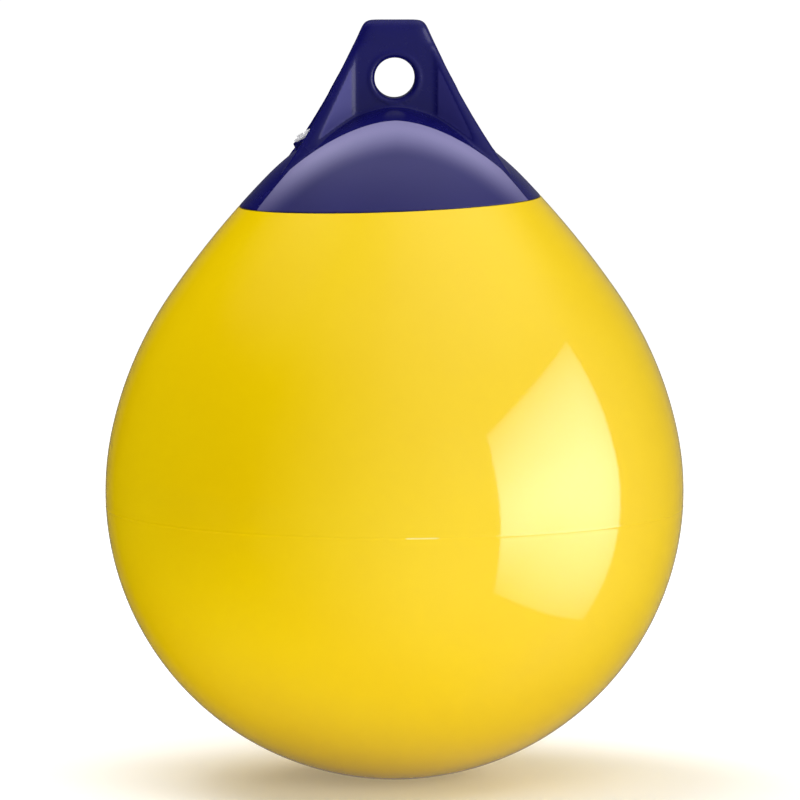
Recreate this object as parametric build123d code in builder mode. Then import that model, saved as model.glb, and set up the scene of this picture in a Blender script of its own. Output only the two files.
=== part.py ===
import os
from math import atan2, cos, degrees, radians, sin, sqrt, tan

from build123d import *

# Teardrop mooring buoy: an air-filled vinyl float with a moulded rope hold bonded over its neck.
# The origin is the centre of the rope eye, the eye runs along Y, and the float hangs down -Z.

# Float: a ball below, two shoulder arcs above it, then a crown with a round peak closing the top
body_diameter = 431
eye_above_ball = 92.5
low_shoulder_radius = 285
low_shoulder_start = 12     # latitude on the ball where the shoulder begins, degrees
high_shoulder_radius = 690
crown_radius = 210
peak_radius = 50
peak_start = 70         # latitude where the crown turns into the peak, degrees
peak_below_eye = 20.3
wall = 4

# Joint between float and rope hold: half-lapped and bonded, a little out of level
seam_below_eye = 92
seam_tilt = 2           # degrees, higher on the +X side
lap_length = 24
skirt = 2               # part of the wall that laps over the float's neck
bond_gap = 0.15
seam_bevel = 0.5

# Rope hold: a lug plate that spreads into four corner ribs with a pocket on every side
eye_diameter = 30
eye_rim = 3
plate_thickness = 22
lug_height = 43         # eye centre to the top of the lug
lug_top_half_width = 22
foot_half_width = 95
foot_below_eye = 84
flare_radius = 650
spread_below_top = 25   # where the ribs begin to stand out from the plate
rib_spread = 18         # degrees, how far the ribs lean out to front and back
spread_blend = 60
lug_round = 6.5
front_pocket_half_width = 29
front_pocket_angle = 34.8   # plan angle of the ribs' faces in the front and back pockets
front_pocket_round = 6
side_pocket_reach = 36      # from the axis to the floor of the side pockets
side_pocket_half_width = 6.5
side_pocket_angle = 27.4
side_pocket_round = 4
pocket_blend = 2.8
crown_core = 26         # thickness of the solid core under the lug

# Inflation valve on its boss in the pocket on the -X side
valve_reach = 64        # from the axis to the boss
valve_lean = 27         # degrees from the axis
boss_diameter = 22
boss_height = 4
boss_round = 0.8
boss_blend = 1.5
flange_diameter = 18
flange_thickness = 1.6
barrel_diameter = 13
barrel_length = 18
screw_head_diameter = 12
screw_head_height = 2
screw_diameter = 8
screw_length = 14
slot_width = 1.6
slot_depth = 1.1
valve_gap = 0.1

# Centres of the outline's arcs: the high shoulder touches the low one below it and the crown above it
ball_radius = body_diameter / 2
ball_center = Vector(0, -eye_above_ball - ball_radius)
low_direction = Vector(cos(radians(low_shoulder_start)), sin(radians(low_shoulder_start)))
low_center = ball_center + low_direction * (ball_radius - low_shoulder_radius)
peak_center = Vector(0, -peak_below_eye - peak_radius)
peak_direction = Vector(cos(radians(peak_start)), sin(radians(peak_start)))
crown_center = peak_center + peak_direction * (peak_radius - crown_radius)
low_to_crown = crown_center - low_center
low_reach = high_shoulder_radius - low_shoulder_radius
crown_reach = high_shoulder_radius - crown_radius
along = (low_to_crown.length + (low_reach**2 - crown_reach**2) / low_to_crown.length) / 2
across = sqrt(low_reach**2 - along**2)
high_center = (
    low_center
    + low_to_crown.normalized() * along
    + low_to_crown.normalized().rotate(Axis.Z, 90) * across
)
high_shoulder_start = degrees(atan2(low_center.Y - high_center.Y, low_center.X - high_center.X))
crown_start = degrees(atan2(crown_center.Y - high_center.Y, crown_center.X - high_center.X))

# Arcs of the outline from the bottom up
outline = (
    # centre, radius, latitude where the arc begins, latitude where it ends
    (ball_center, ball_radius, -90, low_shoulder_start),
    (low_center, low_shoulder_radius, low_shoulder_start, high_shoulder_start),
    (high_center, high_shoulder_radius, high_shoulder_start, crown_start),
    (crown_center, crown_radius, crown_start, peak_start),
    (peak_center, peak_radius, peak_start, 90),
)

# Levels and depths of the lug
lug_foot = -foot_below_eye
spread_z = lug_height - spread_below_top
half_plate = plate_thickness / 2
foot_half_depth = half_plate + (spread_z - lug_foot) * tan(radians(rib_spread))

# Far corners of the pockets in plan, past the feet of the ribs
front_pocket_far = foot_half_depth + lug_round
front_pocket_spread = (front_pocket_far - half_plate) / tan(radians(front_pocket_angle))
front_far_half_width = front_pocket_half_width + front_pocket_spread
side_pocket_far = foot_half_width + lug_round
side_pocket_spread = (side_pocket_far - side_pocket_reach) * tan(radians(side_pocket_angle))
side_far_half_width = side_pocket_half_width + side_pocket_spread

# Planes that end the pieces
seam_plane = Plane.XY.offset(-seam_below_eye).rotated((0, -seam_tilt, 0))
lap_plane = seam_plane.offset(lap_length)
ceiling_plane = Plane.XY.offset(-peak_below_eye - crown_core)

# Half plane the outline is drawn in: it runs along a rib, so the turned surface closes under that rib
rib_direction = Vector(side_pocket_far + front_far_half_width, side_far_half_width + front_pocket_far)
turning_plane = Plane(
    origin=(0, 0, 0),
    x_dir=rib_direction,
    z_dir=rib_direction.rotate(Axis.Z, -90),
)


def turned_float(inset):
    """The float's outline turned about the axis, with its whole surface moved inwards by inset."""
    with BuildPart() as turned:
        with BuildSketch(turning_plane):
            with BuildLine() as half:
                for center, radius, begin, end in outline:
                    CenterArc(center, radius - inset, begin, end - begin)
                ends = half.vertices().sort_by(Axis.Y)
                Line(ends[0], ends[-1])
            make_face()
        revolve(axis=Axis.Z)
    return turned.part


outer_form = turned_float(0)
neck_form = turned_float(skirt + bond_gap)
socket_form = turned_float(skirt)
inner_form = turned_float(wall)

# Space inside the finished buoy, flat under the core of the rope hold
with BuildPart() as air_space:
    add(inner_form)
    split(bisect_by=ceiling_plane, keep=Keep.BOTTOM)

# Neck of the float, which the rope hold's skirt laps over
with BuildPart() as neck:
    add(neck_form)
    split(bisect_by=lap_plane, keep=Keep.BOTTOM)

with BuildPart() as float_body:
    add(outer_form)
    split(bisect_by=seam_plane, keep=Keep.BOTTOM)
    add(neck.part)
    add(air_space.part, mode=Mode.SUBTRACT)
    ledge_edge = float_body.faces().filter_by(seam_plane).sort_by(Axis.Z)[0].outer_wire().edges()
    chamfer(ledge_edge, length=seam_bevel)
float_body.part.label = "float_body"

# Lug block: its front outline flares to the feet, its side outline spreads below the eye
with BuildPart() as lug:
    with BuildSketch(Plane.XZ):
        with BuildLine():
            base = Line((0, lug_foot), (foot_half_width, lug_foot))
            flank = RadiusArc(base @ 1, (lug_top_half_width, lug_height), flare_radius)
            Line(flank @ 1, (0, lug_height))
            mirror(about=Plane.YZ)
        make_face()
    extrude(amount=foot_half_depth, both=True)
    with BuildSketch(Plane.YZ) as side_outline:
        with BuildLine():
            Polyline(
                (0, lug_foot), (foot_half_depth, lug_foot), (half_plate, spread_z),
                (half_plate, lug_height), (0, lug_height)
            )
            mirror(about=Plane.YZ)
        make_face()
        knees = side_outline.vertices().filter_by_position(Axis.Y, spread_z - 1, spread_z + 1)
        fillet(knees, radius=spread_blend)
    extrude(amount=foot_half_width, both=True, mode=Mode.INTERSECT)
    corners = lug.edges().filter_by(Axis.X, reverse=True).filter_by(Axis.Y, reverse=True)
    top_edges = lug.faces().sort_by(Axis.Z)[-1].edges()
    fillet(corners + top_edges, radius=lug_round)

# Pockets between the ribs, drawn in plan: each ends on the crown with a rounded foot
with BuildPart() as pocket_space:
    with BuildSketch(Plane.XY.offset(crown_center.Y)):
        with BuildSketch(mode=Mode.PRIVATE) as front_pocket:
            with BuildLine():
                Polyline(
                    (-front_pocket_half_width, -half_plate),
                    (front_pocket_half_width, -half_plate),
                    (front_far_half_width, -front_pocket_far),
                    (-front_far_half_width, -front_pocket_far),
                    close=True,
                )
            make_face()
            fillet(front_pocket.vertices().group_by(Axis.Y)[-1], radius=front_pocket_round)
        with BuildSketch(mode=Mode.PRIVATE) as side_pocket:
            with BuildLine():
                Polyline(
                    (side_pocket_reach, -side_pocket_half_width),
                    (side_pocket_reach, side_pocket_half_width),
                    (side_pocket_far, side_far_half_width),
                    (side_pocket_far, -side_far_half_width),
                    close=True,
                )
            make_face()
            fillet(side_pocket.vertices().group_by(Axis.X)[0], radius=side_pocket_round)
        add(front_pocket.sketch)
        add(side_pocket.sketch)
        mirror(front_pocket.sketch, about=Plane.XZ)
        mirror(side_pocket.sketch, about=Plane.YZ)
    extrude(amount=lug_height - crown_center.Y + lug_round)
    add(outer_form, mode=Mode.SUBTRACT)
    plate_walls = pocket_space.faces().filter_by(Plane.XZ).sort_by(Axis.Y)[1:3]
    end_walls = pocket_space.faces().filter_by(Plane.YZ).sort_by(Axis.X)[1:3]
    pocket_feet = [wall_face.edges().sort_by(Axis.Z)[0] for wall_face in plate_walls + end_walls]
    fillet(pocket_feet, radius=pocket_blend)

with BuildPart() as crown:
    add(outer_form)
    split(bisect_by=seam_plane, keep=Keep.TOP)

# Boss of the inflation valve, square to the valve's leaning axis
valve_rise = sqrt(crown_radius**2 - (valve_reach - crown_center.X) ** 2)
valve_foot = Vector(-valve_reach, 0, crown_center.Y + valve_rise)
valve_axis = Vector(-sin(radians(valve_lean)), 0, cos(radians(valve_lean)))
valve_plane = Plane(origin=valve_foot + valve_axis * boss_height, x_dir=(0, 1, 0), z_dir=valve_axis)

with BuildPart() as boss:
    with BuildSketch(valve_plane):
        Circle(boss_diameter / 2)
    extrude(amount=-barrel_length)
    fillet(boss.faces().sort_by(Axis(valve_foot, valve_axis))[-1].edges(), radius=boss_round)

# Socket inside the rope hold for the float's neck
with BuildPart() as socket:
    add(socket_form)
    split(bisect_by=lap_plane, keep=Keep.BOTTOM)

with BuildPart() as rope_hold:
    add(lug.part)
    add(pocket_space.part, mode=Mode.SUBTRACT)
    add(crown.part)
    with BuildSketch(Plane.XZ):
        Circle(eye_diameter / 2)
    extrude(amount=plate_thickness, both=True, mode=Mode.SUBTRACT)
    fillet(rope_hold.edges(Select.NEW).filter_by(GeomType.CIRCLE), radius=eye_rim)
    add(boss.part)
    fillet(rope_hold.edges(Select.NEW), radius=boss_blend)
    with BuildSketch(valve_plane):
        Circle(barrel_diameter / 2 + valve_gap)
    extrude(amount=-barrel_length - boss_height, mode=Mode.SUBTRACT)
    add(socket.part, mode=Mode.SUBTRACT)
    add(air_space.part, mode=Mode.SUBTRACT)
    skirt_edge = rope_hold.faces().filter_by(seam_plane).sort_by(Axis.Z)[0].outer_wire().edges()
    chamfer(skirt_edge, length=seam_bevel)
rope_hold.part.label = "rope_hold"

# Valve seat: a flanged bush pressed into the boss
with BuildPart() as valve_seat:
    with BuildSketch(valve_plane):
        Circle(flange_diameter / 2)
    extrude(amount=flange_thickness)
    with BuildSketch(valve_plane):
        Circle(barrel_diameter / 2)
    extrude(amount=-barrel_length)
    with BuildSketch(valve_plane.offset(flange_thickness)):
        Circle(screw_diameter / 2 + valve_gap)
    extrude(amount=-flange_thickness - barrel_length, mode=Mode.SUBTRACT)
valve_seat.part.label = "valve_seat"

# Slotted screw that closes the valve
screw_plane = valve_plane.offset(flange_thickness)
with BuildPart() as valve_screw:
    with BuildSketch(screw_plane):
        Circle(screw_head_diameter / 2)
    extrude(amount=screw_head_height)
    with BuildSketch(screw_plane):
        Circle(screw_diameter / 2)
    extrude(amount=-screw_length)
    with BuildSketch(screw_plane.offset(screw_head_height)):
        Rectangle(screw_head_diameter, slot_width)
    extrude(amount=-slot_depth, mode=Mode.SUBTRACT)
valve_screw.part.label = "valve_screw"

os.makedirs("parts", exist_ok=True)
export_step(float_body.part, "parts/float_body.step")
export_step(rope_hold.part, "parts/rope_hold.step")
export_step(valve_seat.part, "parts/valve_seat.step")
export_step(valve_screw.part, "parts/valve_screw.step")
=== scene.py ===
import math
import bpy
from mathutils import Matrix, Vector


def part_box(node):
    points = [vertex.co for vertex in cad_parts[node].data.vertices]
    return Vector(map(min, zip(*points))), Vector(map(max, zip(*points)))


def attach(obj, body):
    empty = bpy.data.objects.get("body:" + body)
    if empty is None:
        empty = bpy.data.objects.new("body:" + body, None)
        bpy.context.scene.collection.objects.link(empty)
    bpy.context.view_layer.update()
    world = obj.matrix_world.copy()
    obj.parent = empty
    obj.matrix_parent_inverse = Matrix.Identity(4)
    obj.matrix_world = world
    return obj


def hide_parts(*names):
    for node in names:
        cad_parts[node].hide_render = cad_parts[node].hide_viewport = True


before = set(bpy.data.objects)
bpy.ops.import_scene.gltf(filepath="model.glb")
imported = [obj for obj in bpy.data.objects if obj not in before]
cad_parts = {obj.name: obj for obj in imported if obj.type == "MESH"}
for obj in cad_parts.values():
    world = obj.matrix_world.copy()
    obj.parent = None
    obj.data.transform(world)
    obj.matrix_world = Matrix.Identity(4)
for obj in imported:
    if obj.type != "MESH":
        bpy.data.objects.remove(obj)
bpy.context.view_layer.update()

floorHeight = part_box("float_body")[0].z


# small helpers

def deselectAll():
    if bpy.context.object and bpy.context.object.mode != "OBJECT":
        bpy.ops.object.mode_set(mode="OBJECT")
    bpy.ops.object.select_all(action="DESELECT")


def selectOnly(piece):
    deselectAll()
    piece.select_set(True)
    bpy.context.view_layer.objects.active = piece


def pickVerts(piece, wanted):
    # leaves the piece in edit mode with only the wanted vertices selected
    selectOnly(piece)
    bpy.ops.object.mode_set(mode="EDIT")
    bpy.ops.mesh.select_mode(type="VERT")
    bpy.ops.mesh.select_all(action="DESELECT")
    bpy.ops.object.mode_set(mode="OBJECT")
    for vert in piece.data.vertices:
        vert.select = wanted(vert.co)
    bpy.ops.object.mode_set(mode="EDIT")


def pickAll(piece):
    selectOnly(piece)
    bpy.ops.object.mode_set(mode="EDIT")
    bpy.ops.mesh.select_mode(type="VERT")
    bpy.ops.mesh.select_all(action="SELECT")


def applyModifiers(piece):
    selectOnly(piece)
    for modifier in list(piece.modifiers):
        bpy.ops.object.modifier_apply(modifier=modifier.name)


def direction(azimuth, elevation):
    # azimuth 0 points at the viewer, 90 to the viewer's right
    turn, rise = math.radians(azimuth), math.radians(elevation)
    return Vector((math.sin(turn) * math.cos(rise), -math.cos(turn) * math.cos(rise), math.sin(rise)))


# float: outline arcs, joint and parting line, metres
floatSet = {
    "ballRadius": (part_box("float_body")[1].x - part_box("float_body")[0].x) / 2,
    "lowShoulder": 0.285,        # radius of the arc above the ball
    "lowStart": 12,              # degrees of latitude
    "highShoulder": 0.690,
    "crownRadius": 0.210,
    "crownTurn": 9,              # degrees of the crown that the neck needs
    "peakRadius": 0.050,
    "peakStart": 70,             # degrees of latitude
    "peakTop": -0.0203,
    "wall": 0.004,
    "ballSteps": 84,
    "lowSteps": 24,
    "highSteps": 28,
    "crownSteps": 8,
    "turnSteps": 256,
    "innerTurnSteps": 128,
    "jointDrop": -0.092,         # height of the joint on the axis
    "jointTilt": 2,              # degrees, higher on the right
    "neckInset": 0.00215,
    "neckLength": 0.024,
    "partingDrop": -0.3195,      # mould parting line
    "partingWidth": 0.0022,
    "partingHeight": 0.00022,
    "partingRise": (0.25, 0.5, 0.25, -0.25, -0.5, -0.25),     # steps across the bead, shares of its height
    "besideSteps": 2,            # close loops beside the bead keep its shading narrow
    "creaseAngle": 32,           # degrees, sharper edges stay sharp
    "mergeReach": 0.00002,       # vertices nearer than this are one
    "rimBand": 0.001,            # half the height in which a level's rims are looked for
}


def latitude(angle):
    # direction in the plane of the outline
    return Vector((math.cos(math.radians(angle)), math.sin(math.radians(angle))))


def outlineArcs():
    # centres of the outline's arcs as (x, z) pairs, and the latitudes where they meet
    s = floatSet
    ball = Vector((0, floorHeight + s["ballRadius"]))
    low = ball + latitude(s["lowStart"]) * (s["ballRadius"] - s["lowShoulder"])
    peak = Vector((0, s["peakTop"] - s["peakRadius"]))
    crown = peak + latitude(s["peakStart"]) * (s["peakRadius"] - s["crownRadius"])
    span = crown - low
    lowReach = s["highShoulder"] - s["lowShoulder"]
    crownReach = s["highShoulder"] - s["crownRadius"]
    along = (span.length + (lowReach ** 2 - crownReach ** 2) / span.length) / 2
    across = math.sqrt(lowReach ** 2 - along ** 2)
    unit = span.normalized()
    high = low + unit * along + Vector((-unit.y, unit.x)) * across
    highStart = math.degrees(math.atan2(low.y - high.y, low.x - high.x))
    crownStart = math.degrees(math.atan2(crown.y - high.y, crown.x - high.x))
    return {"ball": ball, "low": low, "high": high, "crown": crown, "peak": peak,
            "highStart": highStart, "crownStart": crownStart}


arcs = outlineArcs()


def spinArc(center, degreesTurned, steps):
    # carries the selected vertex round an arc in the XZ plane, upwards on the right
    bpy.ops.mesh.spin(steps=steps, angle=math.radians(degreesTurned), use_auto_merge=False,
                      center=(center.x, 0, center.y), axis=(0, 1, 0))


def turnedSkin(name, inset, turnSteps, withParting):
    # one skin of the float, moved in by inset, from the bottom up past the joint
    s = floatSet
    ball = arcs["ball"]
    deselectAll()
    bpy.ops.mesh.primitive_plane_add(location=(0, 0, 0))     # merged into the outline's first vertex
    skin = bpy.context.object
    skin.name = name
    bpy.ops.object.mode_set(mode="EDIT")
    bpy.ops.mesh.select_mode(type="VERT")
    bpy.ops.mesh.merge(type="CENTER")
    bpy.ops.transform.translate(value=(0, 0, ball.y - s["ballRadius"] + inset))
    lowStart = s["lowStart"]
    if withParting:
        radius = s["ballRadius"]
        partingLatitude = math.degrees(math.asin((s["partingDrop"] - ball.y) / radius))
        halfBead = math.degrees(s["partingWidth"] / 2 / radius)
        outward = direction(90, partingLatitude) * s["partingHeight"]
        below = round(s["ballSteps"] * (90 + partingLatitude) / (90 + lowStart))
        spinArc(ball, 90 + partingLatitude - 2 * halfBead, below)
        spinArc(ball, halfBead, s["besideSteps"])
        # a fine raised bead where the mould halves met
        for rise in s["partingRise"]:
            spinArc(ball, 2 * halfBead / len(s["partingRise"]), 1)
            bpy.ops.transform.translate(value=outward * rise)
        spinArc(ball, halfBead, s["besideSteps"])
        spinArc(ball, lowStart - partingLatitude - 2 * halfBead, s["ballSteps"] - below)
    else:
        spinArc(ball, 90 + lowStart, s["ballSteps"])
    spinArc(arcs["low"], arcs["highStart"] - lowStart, s["lowSteps"])
    spinArc(arcs["high"], arcs["crownStart"] - arcs["highStart"], s["highSteps"])
    spinArc(arcs["crown"], s["crownTurn"], s["crownSteps"])
    bpy.ops.mesh.select_all(action="SELECT")
    bpy.ops.mesh.spin(steps=turnSteps, angle=math.tau, use_auto_merge=True,
                      center=(0, 0, 0), axis=(0, 0, 1))
    bpy.ops.mesh.select_all(action="SELECT")
    bpy.ops.mesh.remove_doubles(threshold=s["mergeReach"])
    bpy.ops.object.mode_set(mode="OBJECT")
    return skin


def jointPlane(rise):
    # point and normal of the tilted joint plane, moved up its own normal
    tilt = math.radians(floatSet["jointTilt"])
    normal = Vector((-math.sin(tilt), 0, math.cos(tilt)))
    return Vector((0, 0, floatSet["jointDrop"])) + normal * rise, normal


def cutSkin(skin, rise, dropAbove):
    point, normal = jointPlane(rise)
    pickAll(skin)
    bpy.ops.mesh.bisect(plane_co=point, plane_no=normal, threshold=floatSet["mergeReach"],
                        clear_outer=dropAbove, clear_inner=not dropAbove)
    bpy.ops.object.mode_set(mode="OBJECT")


def closeAt(piece, rise):
    # fills the ring between two open rims in one level of the joint, the rest hidden meanwhile
    point, normal = jointPlane(rise)
    pickVerts(piece, lambda co: abs((co - point).dot(normal)) < floatSet["rimBand"])
    bpy.ops.mesh.hide(unselected=True)
    bpy.ops.mesh.select_mode(type="EDGE")
    bpy.ops.mesh.select_all(action="DESELECT")
    bpy.ops.mesh.select_non_manifold(use_wire=False, use_multi_face=False,
                                     use_non_contiguous=False, use_verts=False)
    bpy.ops.mesh.fill(use_beauty=False)
    bpy.ops.mesh.reveal(select=False)
    bpy.ops.object.mode_set(mode="OBJECT")


def buildFloat():
    s = floatSet
    outer = turnedSkin("floatShell", 0, s["turnSteps"], True)
    cutSkin(outer, 0, True)
    neck = turnedSkin("floatNeck", s["neckInset"], s["turnSteps"], False)
    cutSkin(neck, 0, False)
    cutSkin(neck, s["neckLength"], True)
    inner = turnedSkin("floatInside", s["wall"], s["innerTurnSteps"], False)
    cutSkin(inner, s["neckLength"], True)
    deselectAll()
    for skin in (neck, inner, outer):
        skin.select_set(True)
    bpy.context.view_layer.objects.active = outer
    bpy.ops.object.join()
    closeAt(outer, 0)
    closeAt(outer, s["neckLength"])
    pickAll(outer)
    bpy.ops.mesh.normals_make_consistent(inside=False)
    bpy.ops.object.mode_set(mode="OBJECT")
    bpy.ops.object.shade_smooth_by_angle(angle=math.radians(s["creaseAngle"]))
    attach(outer, "root")
    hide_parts("float_body")
    print("float:", len(outer.data.polygons), "faces")
    return outer


# rope hold: the moulding's edges are softened, and its hidden inside is thinned out
holdSet = {
    "voxel": 0.00116,
    "softPasses": 10,
    "softStep": 0.5,
    "ribPasses": 30,             # extra softening along the ribs
    "ribDepth": 0.0125,          # the ribs stand out past this depth
    "ribTop": 0.030,
    "ribFoot": 0.004,            # height over the dome where it begins
    "topPasses": 70,             # extra softening of the lug's top
    "topFrom": 0.024,
    "collarRadius": 0.0184,      # low collar round the rope eye, on both faces
    "collarThick": 0.0020,
    "collarDepth": 0.0100,
    "collarSegments": (128, 20),
    "bossReach": 0.043,          # the boss keeps its edges
    "bossHalfWidth": 0.0135,
    "insideDepth": 0.0016,       # deeper than this under the dome nothing shows
    "insideKeep": 0.22,          # share of the inside's triangles that stay
}


def domeHeight(radius):
    # height of the turned outline at a distance from the axis
    s = floatSet
    peakEdge = s["peakRadius"] * latitude(s["peakStart"]).x
    crownEdge = arcs["crown"].x + s["crownRadius"] * latitude(arcs["crownStart"]).x
    center, bend = arcs["high"], s["highShoulder"]
    if radius < peakEdge:
        center, bend = arcs["peak"], s["peakRadius"]
    elif radius < crownEdge:
        center, bend = arcs["crown"], s["crownRadius"]
    return center.y + math.sqrt(bend ** 2 - (radius - center.x) ** 2)


copyMergeReach = 0.000005        # vertices of a copied mesh nearer than this are one


def mergedCopy(nodeName, name):
    # merged copy of a solid's mesh, free of its own shading
    selectOnly(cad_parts[nodeName])
    bpy.ops.object.duplicate()
    copy = bpy.context.object
    copy.name = name
    copy.data.name = name
    for label in list(copy.keys()):
        del copy[label]
    bpy.ops.mesh.customdata_custom_splitnormals_clear()
    pickAll(copy)
    bpy.ops.mesh.remove_doubles(threshold=copyMergeReach)
    bpy.ops.object.mode_set(mode="OBJECT")
    return copy


def vertexGroup(piece, name, wanted):
    group = piece.vertex_groups.new(name=name)
    members = [vert.index for vert in piece.data.vertices if wanted(vert.co)]
    group.add(members, 1, "REPLACE")
    return members


def aboveDome(co):
    return co.z - domeHeight(math.hypot(co.x, co.y))


def onRib(co):
    s = holdSet
    boss = co.x < -s["bossReach"] and abs(co.y) < s["bossHalfWidth"]
    return abs(co.y) > s["ribDepth"] and s["ribFoot"] < aboveDome(co) and co.z < s["ribTop"] and not boss


def addCollars(hold):
    # low collar round each mouth of the rope eye, joined to the hold before it is remeshed
    s = holdSet
    for side in (-1, 1):
        deselectAll()
        bpy.ops.mesh.primitive_torus_add(
            major_radius=s["collarRadius"], minor_radius=s["collarThick"],
            major_segments=s["collarSegments"][0], minor_segments=s["collarSegments"][1],
            location=(0, side * s["collarDepth"], 0), rotation=(math.pi / 2, 0, 0))
        hold.select_set(True)
        bpy.context.view_layer.objects.active = hold
        bpy.ops.object.join()


def buildHold():
    s = holdSet
    hold = mergedCopy("rope_hold", "ropeHold")
    addCollars(hold)
    selectOnly(hold)
    hold.data.remesh_voxel_size = s["voxel"]
    bpy.ops.object.voxel_remesh()
    vertexGroup(hold, "ribs", onRib)
    vertexGroup(hold, "lugTop", lambda co: co.z > s["topFrom"])
    hidden = vertexGroup(hold, "inside", lambda co: aboveDome(co) < -s["insideDepth"])
    softenings = (
        # name, passes, vertex group
        ("softEdges", s["softPasses"], ""),
        ("softRibs", s["ribPasses"], "ribs"),
        ("softTop", s["topPasses"], "lugTop"),
    )
    for name, passes, group in softenings:
        soften = hold.modifiers.new(name, "SMOOTH")
        soften.factor = s["softStep"]
        soften.iterations = passes
        soften.vertex_group = group
    thin = hold.modifiers.new("thinInside", "DECIMATE")
    thin.vertex_group = "inside"
    thin.ratio = 1 - (1 - s["insideKeep"]) * len(hidden) / len(hold.data.vertices)
    applyModifiers(hold)
    bpy.ops.object.shade_smooth()
    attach(hold, "root")
    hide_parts("rope_hold")
    print("rope hold:", len(hold.data.polygons), "faces", len(hidden), "hidden vertices")
    return hold


# valve: the bush and its slotted screw, with broken edges
valveSet = {
    "pieces": (("valve_seat", "valveSeat"), ("valve_screw", "valveScrew")),
    "flatAngle": 2,              # degrees, flatter than this is one face
    "edgeWidth": 0.00022,
    "edgeSegments": 3,
    "edgeAngle": 40,
}


def buildValve(nodeName, name):
    s = valveSet
    piece = mergedCopy(nodeName, name)
    pickAll(piece)
    bpy.ops.mesh.dissolve_limited(angle_limit=math.radians(s["flatAngle"]))
    bpy.ops.object.mode_set(mode="OBJECT")
    edges = piece.modifiers.new("edges", "BEVEL")
    edges.width = s["edgeWidth"]
    edges.segments = s["edgeSegments"]
    edges.limit_method = "ANGLE"
    edges.angle_limit = math.radians(s["edgeAngle"])
    applyModifiers(piece)
    bpy.ops.object.shade_smooth_by_angle(angle=math.radians(s["edgeAngle"]))
    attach(piece, "root")
    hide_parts(nodeName)
    print("valve piece:", name, len(piece.data.polygons), "faces")
    return piece


# node helpers

def calc(tree, operation, *values):
    # one math node, each of its values a number or a socket
    node = tree.nodes.new("ShaderNodeMath")
    node.operation = operation
    for socket, value in zip(node.inputs, values):
        if isinstance(value, (int, float)):
            socket.default_value = value
        else:
            tree.links.new(value, socket)
    return node.outputs[0]


def ease(tree, value, span, ends=(0, 1)):
    # eases from one end to the other while the value crosses the span
    node = tree.nodes.new("ShaderNodeMapRange")
    node.interpolation_type = "SMOOTHSTEP"
    for name, number in zip(("From Min", "From Max", "To Min", "To Max"), (*span, *ends)):
        node.inputs[name].default_value = number
    tree.links.new(value, node.inputs["Value"])
    return node.outputs["Result"]


def colorOver(tree, under, color, mask):
    # lays a fixed colour over a socket's colour
    node = tree.nodes.new("ShaderNodeMix")
    node.data_type = "RGBA"
    node.inputs["B"].default_value = color
    tree.links.new(mask, node.inputs["Factor"])
    tree.links.new(under, node.inputs["A"])
    return node.outputs["Result"]


def coordParts(tree, kind):
    # the parts of one kind of texture coordinate
    coords = tree.nodes.new("ShaderNodeTexCoord")
    split = tree.nodes.new("ShaderNodeSeparateXYZ")
    tree.links.new(coords.outputs[kind], split.inputs[0])
    return split.outputs


# finishes: three plastics that share one moulded surface
finishSet = {
    "float": {
        "color": (0.95, 0.665, 0.0012, 1), "deepColor": (0.925, 0.625, 0.0008, 1),
        "ior": 1.52, "rough": (0.035, 0.075),
        "mottleScale": 7, "grainScale": 420, "grainDepth": 0.05,
    },
    "hold": {
        "color": (0.0060, 0.0053, 0.098, 1), "deepColor": (0.0045, 0.004, 0.082, 1),
        "ior": 1.28, "rough": (0.2, 0.3),
        "mottleScale": 16, "grainScale": 650, "grainDepth": 0.09,
    },
    "valve": {
        "color": (0.87, 0.87, 0.89, 1), "deepColor": (0.79, 0.79, 0.82, 1),
        "ior": 1.49, "rough": (0.3, 0.42),
        "mottleScale": 90, "grainScale": 1500, "grainDepth": 0.1,
    },
}

# slow mottling, finer haze and fine grain of moulded plastic
mouldedSet = {
    "mottleNoise": (3, 0.5),     # detail and roughness of the noise
    "mottleSpan": (0.3, 0.7),
    "hazeNoise": (5, 0.62),
    "hazeSpan": (0.32, 0.68),
    "hazeFiner": 5.3,            # times the mottling's scale
    "grainNoise": (2, 0.5),
    "grainDistance": 0.0003,
}


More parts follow.
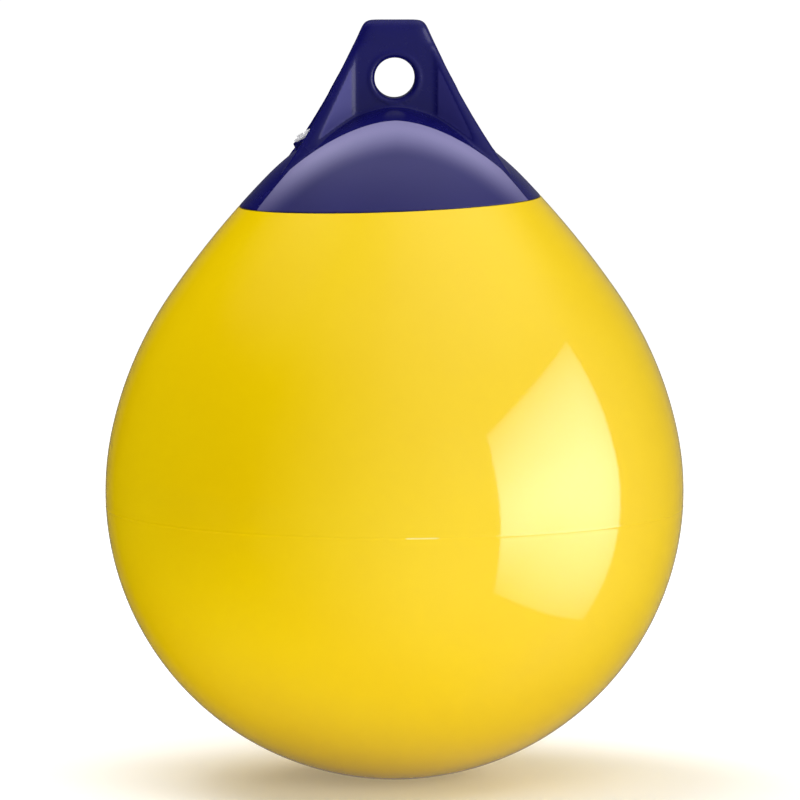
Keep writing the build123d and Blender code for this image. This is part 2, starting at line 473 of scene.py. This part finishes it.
def mouldedSurface():
    # one group, shared by all finishes
    s = mouldedSet
    group = bpy.data.node_groups.new("mouldedSurface", "ShaderNodeTree")
    sockets = (
        # name, in or out, socket type
        ("Vector", "INPUT", "NodeSocketVector"),
        ("Mottle Scale", "INPUT", "NodeSocketFloat"),
        ("Grain Scale", "INPUT", "NodeSocketFloat"),
        ("Mottle", "OUTPUT", "NodeSocketFloat"),
        ("Haze", "OUTPUT", "NodeSocketFloat"),
        ("Grain", "OUTPUT", "NodeSocketFloat"),
    )
    for name, side, kind in sockets:
        group.interface.new_socket(name=name, in_out=side, socket_type=kind)
    nodes, links = group.nodes, group.links
    enter = nodes.new("NodeGroupInput")
    leave = nodes.new("NodeGroupOutput")

    def noise(scaleFrom, detail, roughness):
        texture = nodes.new("ShaderNodeTexNoise")
        texture.inputs["Detail"].default_value = detail
        texture.inputs["Roughness"].default_value = roughness
        links.new(enter.outputs["Vector"], texture.inputs["Vector"])
        links.new(scaleFrom, texture.inputs["Scale"])
        return texture.outputs["Fac"]

    def spread(value, low, high):
        wide = nodes.new("ShaderNodeMapRange")
        wide.inputs["From Min"].default_value = low
        wide.inputs["From Max"].default_value = high
        links.new(value, wide.inputs["Value"])
        return wide.outputs["Result"]

    hazeScale = calc(group, "MULTIPLY", enter.outputs["Mottle Scale"], s["hazeFiner"])
    mottle = noise(enter.outputs["Mottle Scale"], *s["mottleNoise"])
    haze = noise(hazeScale, *s["hazeNoise"])
    grain = noise(enter.outputs["Grain Scale"], *s["grainNoise"])
    links.new(spread(mottle, *s["mottleSpan"]), leave.inputs["Mottle"])
    links.new(spread(haze, *s["hazeSpan"]), leave.inputs["Haze"])
    links.new(grain, leave.inputs["Grain"])
    return group


def plastic(name, finish, surface):
    s = finishSet[finish]
    material = bpy.data.materials.new(name)
    material.use_nodes = True
    nodes, links = material.node_tree.nodes, material.node_tree.links
    shader = nodes["Principled BSDF"]
    shader.inputs["IOR"].default_value = s["ior"]
    coords = nodes.new("ShaderNodeTexCoord")
    moulded = nodes.new("ShaderNodeGroup")
    moulded.node_tree = surface
    moulded.inputs["Mottle Scale"].default_value = s["mottleScale"]
    moulded.inputs["Grain Scale"].default_value = s["grainScale"]
    links.new(coords.outputs["Object"], moulded.inputs["Vector"])
    tint = nodes.new("ShaderNodeMix")
    tint.name = "tint"
    tint.data_type = "RGBA"
    tint.inputs["A"].default_value = s["color"]
    tint.inputs["B"].default_value = s["deepColor"]
    links.new(moulded.outputs["Mottle"], tint.inputs["Factor"])
    links.new(tint.outputs["Result"], shader.inputs["Base Color"])
    rough = nodes.new("ShaderNodeMapRange")
    rough.name = "rough"
    rough.inputs["To Min"].default_value = s["rough"][0]
    rough.inputs["To Max"].default_value = s["rough"][1]
    links.new(moulded.outputs["Haze"], rough.inputs["Value"])
    links.new(rough.outputs["Result"], shader.inputs["Roughness"])
    bump = nodes.new("ShaderNodeBump")
    bump.inputs["Strength"].default_value = s["grainDepth"]
    bump.inputs["Distance"].default_value = mouldedSet["grainDistance"]
    links.new(moulded.outputs["Grain"], bump.inputs["Height"])
    links.new(bump.outputs["Normal"], shader.inputs["Normal"])
    return material


# satin faces left by the mould's inserts: the dome before and behind the lug, and the pockets' walls; they
# are rougher, and their lighter colours are painted sheen that stands in for the light these faces reflect
satinAndPaintedSheenSet = {
    # painted sheen: the dome panel's lighter colour in place of reflected overhead light
    "color": (0.245, 0.228, 0.43, 1),
    "rough": 0.42,
    "edgeDepth": 0.0334,         # the panel's upper edge, from the axis
    "edgeSlope": 0.072,
    "edge": (-0.0003, 0.0004),
    "fade": (0.008, 0.040),      # from the upper edge outwards
    "fadeLeft": 0.14,
    "drop": (-0.048, -0.100),    # and down the dome
    "dropLeft": 0.34,
    "sideSlope": 0.50,           # the panel's sides run down the dome
    "sideEdge": (-0.0005, 0.0005),
    # painted sheen: the pockets' walls made lighter where they face the lug's middle
    "wallPaintedSheen": (0.024, 0.022, 0.155, 1),
    "wallDepth": (0.0126, 0.0136),
    "wallInward": (0.3, 0.48),   # how far a wall faces the lug's middle
    "wallForward": (0.3, 0.5),
}


def satinAndPaintedSheen(material):
    s = satinAndPaintedSheenSet
    tree = material.node_tree
    nodes, links = tree.nodes, tree.links
    place = coordParts(tree, "Object")
    facing = coordParts(tree, "Normal")
    depth = calc(tree, "ABSOLUTE", place["Y"])
    across = calc(tree, "ABSOLUTE", place["X"])
    upperEdge = calc(tree, "MULTIPLY_ADD", across, s["edgeSlope"], s["edgeDepth"])
    outwards = calc(tree, "SUBTRACT", depth, upperEdge)
    side = calc(tree, "SUBTRACT", depth, calc(tree, "MULTIPLY", across, s["sideSlope"]))
    dome = calc(tree, "MULTIPLY", ease(tree, outwards, s["edge"]), ease(tree, side, s["sideEdge"]))
    # painted sheen on the dome, fading outwards from the upper edge and down the dome
    paintedSheen = calc(tree, "MULTIPLY", dome, ease(tree, outwards, s["fade"], (1, s["fadeLeft"])))
    paintedSheen = calc(tree, "MULTIPLY", paintedSheen, ease(tree, place["Z"], s["drop"], (1, s["dropLeft"])))
    inward = calc(tree, "MULTIPLY", calc(tree, "SIGN", place["X"]), calc(tree, "MULTIPLY", facing["X"], -1))
    forward = calc(tree, "ABSOLUTE", facing["Y"])
    wall = calc(tree, "MULTIPLY", ease(tree, inward, s["wallInward"]), ease(tree, forward, s["wallForward"]))
    wall = calc(tree, "MULTIPLY", wall, ease(tree, depth, s["wallDepth"]))
    shader = nodes["Principled BSDF"]
    # the walls' and the dome's lighter colours are painted sheen; only the roughness below is the satin
    # finish
    color = colorOver(tree, nodes["tint"].outputs["Result"], s["wallPaintedSheen"], wall)
    color = colorOver(tree, color, s["color"], paintedSheen)
    links.new(color, shader.inputs["Base Color"])
    satin = nodes.new("ShaderNodeMix")
    satin.inputs["B"].default_value = s["rough"]
    links.new(calc(tree, "MAXIMUM", wall, dome), satin.inputs["Factor"])
    links.new(nodes["rough"].outputs["Result"], satin.inputs["A"])
    links.new(satin.outputs["Result"], shader.inputs["Roughness"])


# short painted highlight on the parting bead: a pale streak in place of its glint
paintedGlintSet = {
    # painted highlight colour
    "color": (0.95, 0.82, 0.26, 1),
    "from": (0.0015, 0.0045),
    "to": (0.024, 0.028),
    "halfWidth": (0.0003, 0.0007),
    "front": (-0.05, -0.1),
}


def paintedGlint(material):
    s = paintedGlintSet
    tree = material.node_tree
    place = coordParts(tree, "Object")
    off = calc(tree, "ABSOLUTE", calc(tree, "SUBTRACT", place["Z"], floatSet["partingDrop"]))
    along = calc(tree, "MULTIPLY", ease(tree, place["X"], s["from"]), ease(tree, place["X"], s["to"], (1, 0)))
    mark = calc(tree, "MULTIPLY", along, ease(tree, off, s["halfWidth"], (1, 0)))
    mark = calc(tree, "MULTIPLY", mark, ease(tree, place["Y"], s["front"]))
    # pale painted highlight along the bead's front
    color = colorOver(tree, tree.nodes["tint"].outputs["Result"], s["color"], mark)
    tree.links.new(color, tree.nodes["Principled BSDF"].inputs["Base Color"])


def dress(piece, material):
    piece.data.materials.clear()
    piece.data.materials.append(material)


# studio: white world, softbox, surround, lamps and floor
studioSet = {
    "worldDiffuse": 0.2,
    "boxCorners": ((38, 23), (98.5, 33.5), (99, -35), (43, -33)),   # azimuth, elevation in degrees
    "boxDistance": 12,
    "boxBright": 7.8,
    "boxUp": ((0, 0.3), (0.29, 0.72), (0.5, 1), (0.71, 0.82), (1, 0.36)),     # bottom to top
    "boxAcross": ((0, 0.8), (0.35, 1), (0.7, 0.9), (1, 0.55)),               # left to right
    "lamps": (
        # name, azimuth and elevation, watts, size
        ("keyLight", (28, 12), 10.5, 1.0),
        ("rightLight", (48, 60), 12.5, 1.4),
        ("leftLight", (-105, 75), 23, 1.4),
        ("rightRim", (120, 25), 8, 1.0),
        ("leftRim", (-140, 45), 13, 1.0),
    ),
    "lampDistance": 2.2,
    "floorSize": 60,
    "floorGap": 0.0002,
    "floorColor": (0.8, 0.8, 0.8, 1),
    # weaker glow near the buoy's foot is a painted contact shadow
    "floorNearShadow": ((0.03, 0.4), (0.16, 0.48)),     # distance from the buoy's foot, glow
    "floorFar": ((0.4, 2.4), (0, 0.42)),          # and what is added far off
    "surroundRadius": 30,
    "surroundSegments": (64, 32),
    "toneScale": 4,
    "levelTone": (
        # azimuth in degrees, brightness at eye level
        (-180, 0.15), (-165, 0.08), (-150, 0.0), (-68, 0.0), (-60, 0.01), (-45, 0.11), (-30, 0.28),
        (-15, 0.48), (0, 0.70), (15, 0.86), (30, 0.94), (60, 0.98), (95, 0.85), (105, 0.6),
        (120, 0.33), (135, 0.17), (150, 0.15), (165, 0.22), (180, 0.15),
    ),
    "highTone": (
        # azimuth in degrees, brightness overhead
        (-180, 0.5), (-135, 0.8), (-110, 0.7), (-90, 0.5), (-60, 0.42), (-45, 0.5), (-30, 0.58), (-15, 0.66),
        (0, 0.84), (30, 1.0), (60, 1.16), (90, 1.22), (110, 1.4), (135, 1.3), (180, 0.5),
    ),
    "highFrom": (30, 66),        # elevation where eye level gives way to overhead, degrees
    "lowTone": 0.27,
    "lowFrom": (-20, -88),       # elevation where eye level gives way to the floor, degrees
}


def buildWorld():
    world = bpy.data.worlds.new("studio")
    bpy.context.scene.world = world
    world.use_nodes = True
    tree = world.node_tree
    nodes, links = tree.nodes, tree.links
    nodes.clear()
    out = nodes.new("ShaderNodeOutputWorld")
    soft = nodes.new("ShaderNodeBackground")
    soft.inputs["Color"].default_value = (1, 1, 1, 1)
    soft.inputs["Strength"].default_value = studioSet["worldDiffuse"]
    white = nodes.new("ShaderNodeBackground")
    white.inputs["Color"].default_value = (1, 1, 1, 1)
    white.inputs["Strength"].default_value = 1
    path = nodes.new("ShaderNodeLightPath")
    seen = calc(tree, "MAXIMUM", path.outputs["Is Camera Ray"], path.outputs["Is Glossy Ray"])
    seen = calc(tree, "MAXIMUM", seen, path.outputs["Is Transmission Ray"])
    mix = nodes.new("ShaderNodeMixShader")
    links.new(seen, mix.inputs[0])
    links.new(soft.outputs[0], mix.inputs[1])
    links.new(white.outputs[0], mix.inputs[2])
    links.new(mix.outputs[0], out.inputs["Surface"])


def onlyReflected(panel):
    # a studio panel that shows in reflections and nowhere else
    panel.visible_camera = False
    panel.visible_diffuse = False
    panel.visible_shadow = False
    panel.visible_transmission = False


def buildSoftbox(target):
    s = studioSet
    corners = [direction(azimuth, elevation) for azimuth, elevation in s["boxCorners"]]
    facing = sum(corners, Vector()).normalized()
    deselectAll()
    bpy.ops.mesh.primitive_plane_add(size=1)
    panel = bpy.context.object
    panel.name = "softbox"
    order = (3, 2, 0, 1)     # the plane's own vertex order
    for vert, corner in zip(panel.data.vertices, order):
        ray = corners[corner]
        vert.co = target + ray * (s["boxDistance"] / ray.dot(facing))
    material = bpy.data.materials.new("softboxGlow")
    material.use_nodes = True
    tree = material.node_tree
    nodes, links = tree.nodes, tree.links
    nodes.clear()
    out = nodes.new("ShaderNodeOutputMaterial")
    glow = nodes.new("ShaderNodeEmission")
    place = coordParts(tree, "UV")

    def profile(socket, points):
        ramp = nodes.new("ShaderNodeFloatCurve")
        curve = ramp.mapping.curves[0]
        curve.points[0].location = points[0]
        curve.points[1].location = points[-1]
        for spot, share in points[1:-1]:
            curve.points.new(spot, share)
        ramp.mapping.update()
        links.new(socket, ramp.inputs["Value"])
        return ramp.outputs[0]

    up = profile(place["Y"], s["boxUp"])
    across = profile(place["X"], s["boxAcross"])
    gain = calc(tree, "MULTIPLY", calc(tree, "MULTIPLY", up, across), s["boxBright"])
    links.new(gain, glow.inputs["Strength"])
    links.new(glow.outputs[0], out.inputs["Surface"])
    dress(panel, material)
    onlyReflected(panel)


def azimuthTone(tree, turn, stops):
    ramp = tree.nodes.new("ShaderNodeValToRGB")
    while len(ramp.color_ramp.elements) < len(stops):
        ramp.color_ramp.elements.new(0.5)
    for element, (azimuth, tone) in zip(ramp.color_ramp.elements, stops):
        grey = tone / studioSet["toneScale"]      # the glow multiplies it again
        element.position = (azimuth + 180) / 360
        element.color = (grey, grey, grey, 1)
    tree.links.new(turn, ramp.inputs["Fac"])
    return ramp.outputs["Color"]


def buildSurround(target):
    # tent that shows in the buoy's gloss: dark on the left, pale in front and on the right, bright above
    s = studioSet
    deselectAll()
    segments, rings = s["surroundSegments"]
    bpy.ops.mesh.primitive_uv_sphere_add(segments=segments, ring_count=rings,
                                         radius=s["surroundRadius"], location=target)
    surround = bpy.context.object
    surround.name = "studioSurround"
    material = bpy.data.materials.new("surroundGlow")
    material.use_nodes = True
    tree = material.node_tree
    nodes, links = tree.nodes, tree.links
    nodes.clear()
    out = nodes.new("ShaderNodeOutputMaterial")
    glow = nodes.new("ShaderNodeEmission")
    place = coordParts(tree, "Object")
    around = calc(tree, "ARCTAN2", place["X"], calc(tree, "MULTIPLY", place["Y"], -1))
    turn = calc(tree, "MULTIPLY_ADD", around, 1 / math.tau, 0.5)
    rise = calc(tree, "ARCSINE", calc(tree, "DIVIDE", place["Z"], s["surroundRadius"]))
    upper = nodes.new("ShaderNodeMix")
    upper.data_type = "RGBA"
    links.new(ease(tree, rise, [math.radians(angle) for angle in s["highFrom"]]), upper.inputs["Factor"])
    links.new(azimuthTone(tree, turn, s["levelTone"]), upper.inputs["A"])
    links.new(azimuthTone(tree, turn, s["highTone"]), upper.inputs["B"])
    low = s["lowTone"] / s["toneScale"]
    lowShare = ease(tree, rise, [math.radians(angle) for angle in s["lowFrom"]])
    links.new(colorOver(tree, upper.outputs["Result"], (low, low, low, 1), lowShare), glow.inputs["Color"])
    glow.inputs["Strength"].default_value = s["toneScale"]
    links.new(glow.outputs[0], out.inputs["Surface"])
    dress(surround, material)
    onlyReflected(surround)


def buildLamp(target, name, place, energy, size):
    # soft lamp that lights the buoy and doesn't show in its gloss
    lamp = bpy.data.lights.new(name, "AREA")
    lamp.shape = "SQUARE"
    lamp.size = size
    lamp.energy = energy
    light = bpy.data.objects.new(name, lamp)
    bpy.context.scene.collection.objects.link(light)
    away = direction(*place)
    light.location = target + away * studioSet["lampDistance"]
    light.rotation_euler = away.to_track_quat("Z", "Y").to_euler()
    light.visible_camera = False
    light.visible_glossy = False


def buildFloor():
    s = studioSet
    deselectAll()
    bpy.ops.mesh.primitive_plane_add(size=s["floorSize"], location=(0, 0, floorHeight - s["floorGap"]))
    floor = bpy.context.object
    floor.name = "floor"
    material = bpy.data.materials.new("paleFloor")
    material.use_nodes = True
    tree = material.node_tree
    nodes, links = tree.nodes, tree.links
    nodes.clear()
    out = nodes.new("ShaderNodeOutputMaterial")
    matt = nodes.new("ShaderNodeBsdfDiffuse")
    matt.inputs["Color"].default_value = s["floorColor"]
    lift = nodes.new("ShaderNodeEmission")
    lift.inputs["Color"].default_value = (1, 1, 1, 1)
    place = coordParts(tree, "Object")
    depth = calc(tree, "MULTIPLY", place["Y"], place["Y"])
    away = calc(tree, "SQRT", calc(tree, "MULTIPLY_ADD", place["X"], place["X"], depth))
    # less glow close to the buoy's foot: painted contact shadow
    nearShadow = ease(tree, away, *s["floorNearShadow"])
    far = ease(tree, away, *s["floorFar"])
    links.new(calc(tree, "ADD", nearShadow, far), lift.inputs["Strength"])
    both = nodes.new("ShaderNodeAddShader")
    links.new(matt.outputs[0], both.inputs[0])
    links.new(lift.outputs[0], both.inputs[1])
    links.new(both.outputs[0], out.inputs["Surface"])
    dress(floor, material)
    floor.visible_glossy = False


# camera: the photograph's view, a long lens from far off
cameraSet = {
    "distance": 5.75,
    "azimuth": -1.5,
    "elevation": 5.6,
    "aim": (0.0041, 0, -0.2405),
    "frameWidth": 0.5958,        # metres across the picture at the buoy
    "sensorWidth": 36,           # millimetres
    "sightEnd": 100,
}


def buildCamera():
    s = cameraSet
    data = bpy.data.cameras.new("camera")
    camera = bpy.data.objects.new("camera", data)
    bpy.context.scene.collection.objects.link(camera)
    away = direction(s["azimuth"], s["elevation"])
    camera.location = Vector(s["aim"]) + away * s["distance"]
    camera.rotation_euler = away.to_track_quat("Z", "Y").to_euler()
    data.sensor_width = s["sensorWidth"]
    data.lens = s["sensorWidth"] * s["distance"] / s["frameWidth"]
    data.clip_end = s["sightEnd"]
    bpy.context.scene.camera = camera


bpy.context.scene.view_settings.view_transform = "Standard"
ballCenter = Vector((0, 0, floorHeight + floatSet["ballRadius"]))
buildCamera()
print("camera set")
floatShell = buildFloat()
ropeHold = buildHold()
valvePieces = [buildValve(nodeName, name) for nodeName, name in valveSet["pieces"]]
surface = mouldedSurface()
floatVinyl = plastic("floatVinyl", "float", surface)
paintedGlint(floatVinyl)
dress(floatShell, floatVinyl)
holdVinyl = plastic("holdVinyl", "hold", surface)
satinAndPaintedSheen(holdVinyl)
dress(ropeHold, holdVinyl)
valvePlastic = plastic("valvePlastic", "valve", surface)
for piece in valvePieces:
    dress(piece, valvePlastic)
print("finishes on")
buildWorld()
buildSoftbox(ballCenter)
buildSurround(ballCenter)
for lampRow in studioSet["lamps"]:
    buildLamp(ballCenter, *lampRow)
buildFloor()
print("studio lit")
